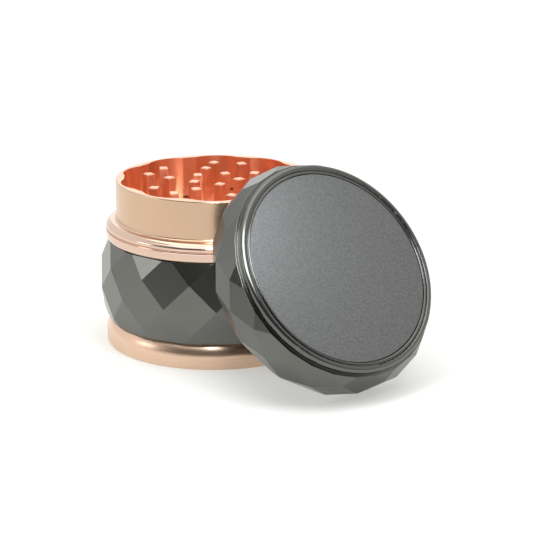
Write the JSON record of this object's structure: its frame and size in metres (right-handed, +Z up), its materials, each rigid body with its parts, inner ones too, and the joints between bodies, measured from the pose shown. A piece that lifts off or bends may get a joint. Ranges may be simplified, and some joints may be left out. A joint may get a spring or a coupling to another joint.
{
  "type": "herb grinder",
  "caption": "Round hand grinder with a faceted dark drum, rose-gold cup and base, toothed chamber and a faceted lid leaning open against it.",
  "frame": {"origin": "centre of the base tray's flat underside, on the surface that the grinder stands on", "axes": "+Z up along the drum's axis, -Y towards the front, +X to the right; the lid leans at the front right"},
  "size_m": [0.0859, 0.0934, 0.0536],
  "materials": {
    "rose_gold_polished": "polished, anodised rose gold",
    "rose_gold_satin": "satin turned, anodised rose gold",
    "rose_gold_teeth": "bright cut, anodised rose gold",
    "gunmetal": "satin gunmetal grey",
    "pebbled_plate": "fine pebbled gunmetal grey",
    "steel_mesh": "woven stainless mesh",
    "spring_steel": "bright spring steel",
    "magnet_nickel": "nickel plate",
    "nylon": "natural nylon"
  },
  "bodies": {
    "base": {"base_tray": "rose_gold_polished"},
    "screen_pack": {"pollen_screen": "steel_mesh", "screen_retaining_ring": "spring_steel"},
    "drum": {"storage_drum": "gunmetal"},
    "hub_magnet": {"chamber_magnet": "magnet_nickel"},
    "chamber": {"grinding_chamber": "rose_gold_satin", "chamber_floor": "rose_gold_teeth", "chamber_teeth_outer": "rose_gold_teeth", "chamber_teeth_middle": "rose_gold_teeth", "chamber_teeth_inner": "rose_gold_teeth"},
    "friction_ring": {"lid_friction_ring": "nylon"},
    "lid": {"lid_shell": "gunmetal", "lid_top_plate": "pebbled_plate", "lid_teeth_outer": "gunmetal", "lid_teeth_inner": "gunmetal", "lid_magnet": "magnet_nickel"}
  },
  "joints": [
    {"name": "drum_lift", "type": "slide", "parent": "base", "child": "screen_pack", "axis": [0, 0, 1], "range_m": [0, 0.004]},
    {"name": "drum_turn", "type": "hinge", "parent": "screen_pack", "child": "drum", "pos_m": [0, 0, 0], "axis": [0, 0, 1], "range_deg": [0, 720]},
    {"name": "chamber_lift", "type": "slide", "parent": "drum", "child": "hub_magnet", "axis": [0, 0, 1], "range_m": [0, 0.004]},
    {"name": "chamber_turn", "type": "hinge", "parent": "hub_magnet", "child": "chamber", "pos_m": [0, 0, 0], "axis": [0, 0, 1], "range_deg": [0, 720]},
    {"name": "lid_carry", "type": "hinge", "parent": "chamber", "child": "friction_ring", "pos_m": [-0.01994, 0.02637, 0.01072], "axis": [-0.7976, -0.6032, 0], "range_deg": [0, 53.9]},
    {"name": "lid_turn", "type": "hinge", "parent": "friction_ring", "child": "lid", "pos_m": [0.03088, -0.04084, 0.03125], "axis": [0.4874, -0.6444, 0.5892], "continuous": true}
  ],
  "couplings": [
    {"joint": "drum_lift", "follows": "drum_turn", "m_per_rad": 0.00031831},
    {"joint": "chamber_lift", "follows": "chamber_turn", "m_per_rad": 0.00031831}
  ]
}
